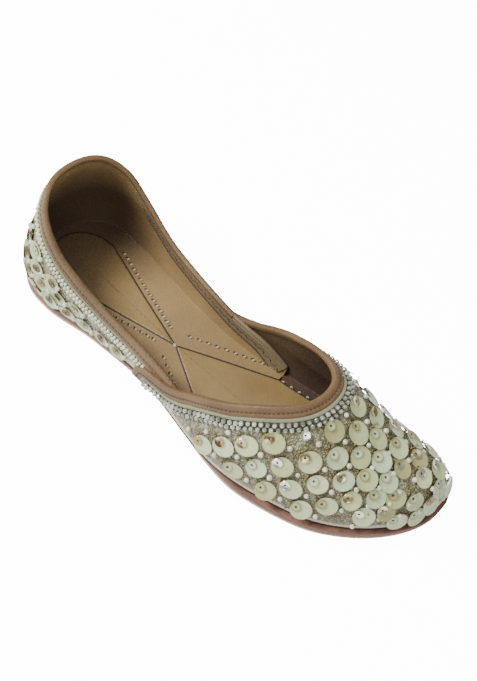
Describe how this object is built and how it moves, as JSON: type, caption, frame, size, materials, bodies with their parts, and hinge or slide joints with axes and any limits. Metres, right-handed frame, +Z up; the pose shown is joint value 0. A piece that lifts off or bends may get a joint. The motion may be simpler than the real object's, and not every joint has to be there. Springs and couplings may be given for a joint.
{
  "type": "mojari shoe",
  "caption": "Flat leather slip-on shoe with a rounded almond toe, a wide round throat, and a high back; the upper is covered in cup sequins, pearls and glass beads.",
  "frame": {"origin": "on the floor under the middle of the shoe's bounding box", "axes": "+X towards the toe, +Y towards the shoe's left, +Z up"},
  "size_m": [0.2501, 0.0883, 0.0654],
  "materials": {
    "outsole_leather": "pale taupe leather ply, fine cut edge",
    "midsole_leather": "dark reddish brown leather ply with fine level streaks",
    "sock_leather": "soft tan leather, fine grain, satin",
    "lining_leather": "tan lining leather, satin, darker in the shade",
    "binding_leather": "brown binding leather with stitch holes",
    "upper": "mint-grey ground worked over in fine metallic thread",
    "thread": "cream cotton thread",
    "zari": "antique gold metal thread knots",
    "cup_sequin": "translucent mint and ivory film, glossy, faint pearl",
    "metal_sequin": "pale gold, silver and some copper film, polished",
    "pearl": "cream pearl, soft lustre",
    "glass_bead": "clear silver-lined glass"
  },
  "bodies": {
    "root": {"outsole": "outsole_leather", "midsole": "midsole_leather", "heel_pad": "sock_leather", "fore_pad": "sock_leather", "quarter": "upper", "vamp": "upper", "throat_binding": "binding_leather", "collar_binding": "binding_leather"}
  },
  "joints": []
}
